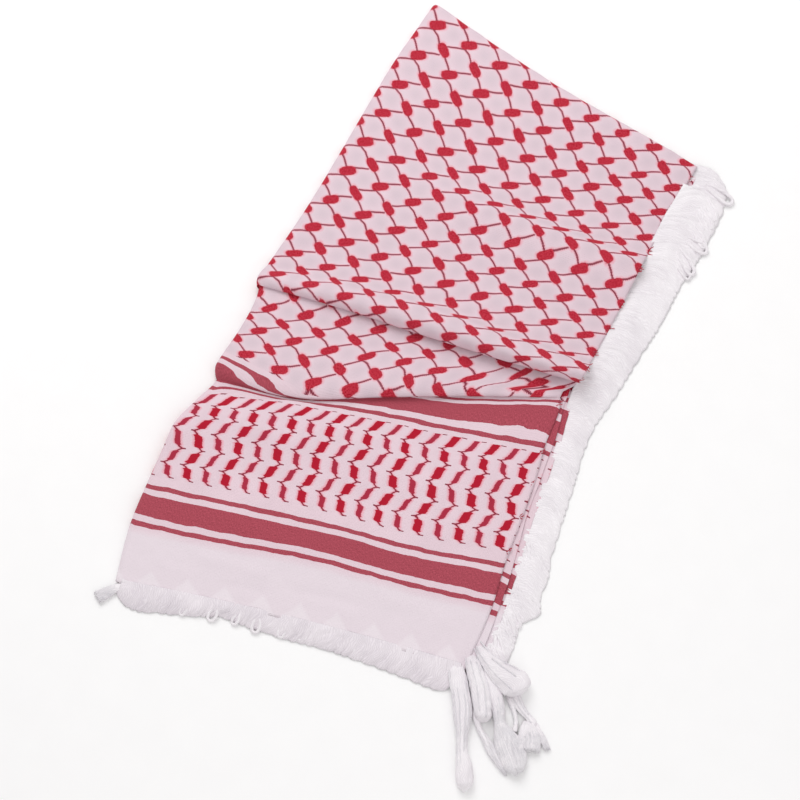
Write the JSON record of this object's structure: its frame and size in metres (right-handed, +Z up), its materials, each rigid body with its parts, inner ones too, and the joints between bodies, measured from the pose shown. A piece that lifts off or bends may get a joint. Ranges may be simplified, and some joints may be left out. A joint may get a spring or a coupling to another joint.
{
  "type": "keffiyeh headscarf",
  "caption": "Red and white woven keffiyeh headscarf, folded in half and in quarters and lying flat, with a rolled pleat, a tuck, side and hem fringes and corner tassels.",
  "frame": {"origin": "middle of the whole folded scarf, fringes and tassels included, on the surface it lies on", "axes": "+Y along the folded length, from the fringed hem to the folded top edge; +Z up, out of the cloth; -X is the folded left side and +X the fringed right side"},
  "size_m": [0.3945, 0.6241, 0.0284],
  "materials": {
    "figured_cloth": "light cotton crepe, pinkish white with woven red lattice, bands and chevrons, soft and matt",
    "white_cloth": "light cotton cloth, pinkish white, matt",
    "white_cord": "twisted and knotted white cotton fringe cords, soft and matt"
  },
  "bodies": {
    "root": {"field_panel": "figured_cloth", "middle_fold": "figured_cloth", "border_panel": "figured_cloth", "inner_layers": "white_cloth", "second_layer_edge": "figured_cloth", "third_layer_edge": "white_cloth", "fringe_right": "white_cord", "fringe_bottom": "white_cord", "corner_tuft": "white_cord", "corner_tassel_1": "white_cord", "corner_tassel_2": "white_cord", "corner_tassel_3": "white_cord", "corner_tassel_4": "white_cord"}
  },
  "joints": []
}
